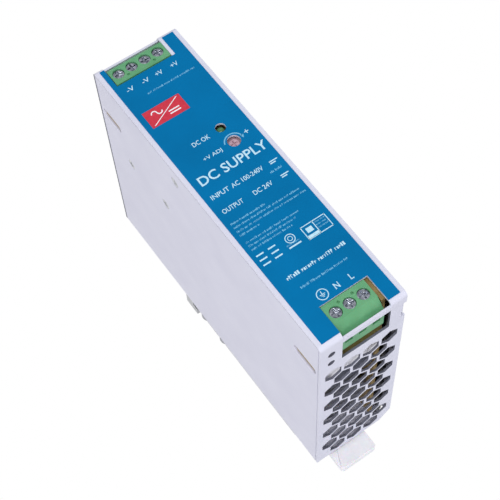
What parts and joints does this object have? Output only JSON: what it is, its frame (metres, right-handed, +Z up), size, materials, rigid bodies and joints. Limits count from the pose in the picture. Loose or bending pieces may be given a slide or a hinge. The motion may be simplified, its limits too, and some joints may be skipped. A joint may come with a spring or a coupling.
{
  "type": "din rail power supply",
  "caption": "Slim boxed power supply for a 35 mm rail: blue front label, green screw terminals top and bottom, honeycomb vents, sprung white latch.",
  "frame": {"origin": "middle of the rail seat face: mid width, on the centre line of the rail, in the plane the rail's front touches", "axes": "+X right along the rail seen from the front, front label faces -Y and the rail is at +Y, +Z up with the output terminals on top"},
  "size_m": [0.032, 0.102, 0.132],
  "materials": {
    "case_steel": "satin light grey",
    "label_blue": "satin printed film",
    "black_film": "matte",
    "zinc": "zinc plated",
    "clip_metal": "satin",
    "latch_white": "moulded white",
    "terminal_green": "moulded green",
    "tinned_brass": "tinned",
    "screw_steel": "nickel plated",
    "board_tan": "circuit board, bare tan",
    "trimmer_rose": "moulded",
    "lamp_green": "tinted lens",
    "black_plastic": "moulded black",
    "brass": "turned",
    "ceramic_white": "ceramic tube",
    "ferrite": "sintered ferrite",
    "copper_wire": "enamelled copper wire",
    "white_plastic": "moulded white",
    "capacitor_grey": "cast resin box",
    "disc_blue": "dipped epoxy",
    "sleeve_dark": "shrink sleeve",
    "heatsink_alu": "bare extrusion",
    "pad_grey": "silicone pad",
    "tape_yellow": "polyester tape"
  },
  "bodies": {
    "case": {"chassis": "case_steel", "left_cover": "case_steel", "right_cover": "case_steel", "rear_panel": "case_steel", "front_label": "label_blue", "insulation_sheet": "black_film", "cover_screws": "zinc", "heatsink_screws": "zinc", "din_bracket": "clip_metal", "latch_spring": "zinc", "bracket_screws": "zinc", "input_terminal_housing": "terminal_green", "output_terminal_housing": "terminal_green", "input_contacts": "tinned_brass", "output_contacts": "tinned_brass", "input_terminal_board": "board_tan", "output_terminal_board": "board_tan", "trimmer_body": "trimmer_rose", "status_led": "lamp_green", "led_holder": "black_plastic", "main_board": "board_tan", "board_standoffs": "brass", "board_screws": "zinc", "fuse": "ceramic_white", "choke_core": "ferrite", "choke_winding": "copper_wire", "choke_base": "white_plastic", "x_capacitor": "capacitor_grey", "y_capacitors": "disc_blue", "varistor": "disc_blue", "bridge_rectifier": "black_plastic", "bulk_capacitor": "sleeve_dark", "primary_heatsink": "heatsink_alu", "switching_transistor": "black_plastic", "transformer_core": "ferrite", "transformer_winding": "tape_yellow", "output_heatsink": "heatsink_alu", "thermal_pad": "pad_grey", "output_rectifier": "black_plastic", "output_capacitors": "sleeve_dark", "output_choke": "copper_wire", "control_chips": "black_plastic"},
    "latch": {"din_latch": "latch_white"},
    "input_screw_1": {"input_screw_1": "screw_steel"},
    "input_screw_2": {"input_screw_2": "screw_steel"},
    "input_screw_3": {"input_screw_3": "screw_steel"},
    "output_screw_1": {"output_screw_1": "screw_steel"},
    "output_screw_2": {"output_screw_2": "screw_steel"},
    "output_screw_3": {"output_screw_3": "screw_steel"},
    "output_screw_4": {"output_screw_4": "screw_steel"},
    "input_cage_1": {"input_cage_1": "screw_steel"},
    "input_cage_2": {"input_cage_2": "screw_steel"},
    "input_cage_3": {"input_cage_3": "screw_steel"},
    "output_cage_1": {"output_cage_1": "screw_steel"},
    "output_cage_2": {"output_cage_2": "screw_steel"},
    "output_cage_3": {"output_cage_3": "screw_steel"},
    "output_cage_4": {"output_cage_4": "screw_steel"},
    "trimmer": {"trimmer_rotor": "trimmer_rose"}
  },
  "joints": [
    {"name": "latch_slide", "type": "slide", "parent": "case", "child": "latch", "axis": [0, 0, -1], "range_m": [0, 0.0045], "stiffness_N_per_m": 600, "springref_m": -0.003, "deforming": ["latch_spring"]},
    {"name": "output_voltage_trim", "type": "hinge", "parent": "case", "child": "trimmer", "pos_m": [0.0058, -0.0938, 0.0124], "axis": [0, 1, 0], "range_deg": [-125, 125]},
    {"name": "input_screw_1_turn", "type": "hinge", "parent": "case", "child": "input_screw_1", "pos_m": [-0.00463, -0.0964, -0.0548], "axis": [0, 1, 0], "range_deg": [0, 1160]},
    {"name": "input_cage_1_lift", "type": "slide", "parent": "case", "child": "input_cage_1", "axis": [0, -1, 0], "range_m": [0, 0.00145]},
    {"name": "input_screw_2_turn", "type": "hinge", "parent": "case", "child": "input_screw_2", "pos_m": [0.00045, -0.0964, -0.0548], "axis": [0, 1, 0], "range_deg": [0, 1160]},
    {"name": "input_cage_2_lift", "type": "slide", "parent": "case", "child": "input_cage_2", "axis": [0, -1, 0], "range_m": [0, 0.00145]},
    {"name": "input_screw_3_turn", "type": "hinge", "parent": "case", "child": "input_screw_3", "pos_m": [0.00553, -0.0964, -0.0548], "axis": [0, 1, 0], "range_deg": [0, 1160]},
    {"name": "input_cage_3_lift", "type": "slide", "parent": "case", "child": "input_cage_3", "axis": [0, -1, 0], "range_m": [0, 0.00145]},
    {"name": "output_screw_1_turn", "type": "hinge", "parent": "case", "child": "output_screw_1", "pos_m": [-0.00932, -0.0964, 0.0573], "axis": [0, 1, 0], "range_deg": [0, 1160]},
    {"name": "output_cage_1_lift", "type": "slide", "parent": "case", "child": "output_cage_1", "axis": [0, -1, 0], "range_m": [0, 0.00145]},
    {"name": "output_screw_2_turn", "type": "hinge", "parent": "case", "child": "output_screw_2", "pos_m": [-0.00424, -0.0964, 0.0573], "axis": [0, 1, 0], "range_deg": [0, 1160]},
    {"name": "output_cage_2_lift", "type": "slide", "parent": "case", "child": "output_cage_2", "axis": [0, -1, 0], "range_m": [0, 0.00145]},
    {"name": "output_screw_3_turn", "type": "hinge", "parent": "case", "child": "output_screw_3", "pos_m": [0.00084, -0.0964, 0.0573], "axis": [0, 1, 0], "range_deg": [0, 1160]},
    {"name": "output_cage_3_lift", "type": "slide", "parent": "case", "child": "output_cage_3", "axis": [0, -1, 0], "range_m": [0, 0.00145]},
    {"name": "output_screw_4_turn", "type": "hinge", "parent": "case", "child": "output_screw_4", "pos_m": [0.00592, -0.0964, 0.0573], "axis": [0, 1, 0], "range_deg": [0, 1160]},
    {"name": "output_cage_4_lift", "type": "slide", "parent": "case", "child": "output_cage_4", "axis": [0, -1, 0], "range_m": [0, 0.00145]}
  ],
  "couplings": [
    {"joint": "input_screw_1_turn", "follows": "input_cage_1_lift", "rad_per_m": 13963},
    {"joint": "input_screw_2_turn", "follows": "input_cage_2_lift", "rad_per_m": 13963},
    {"joint": "input_screw_3_turn", "follows": "input_cage_3_lift", "rad_per_m": 13963},
    {"joint": "output_screw_1_turn", "follows": "output_cage_1_lift", "rad_per_m": 13963},
    {"joint": "output_screw_2_turn", "follows": "output_cage_2_lift", "rad_per_m": 13963},
    {"joint": "output_screw_3_turn", "follows": "output_cage_3_lift", "rad_per_m": 13963},
    {"joint": "output_screw_4_turn", "follows": "output_cage_4_lift", "rad_per_m": 13963}
  ]
}
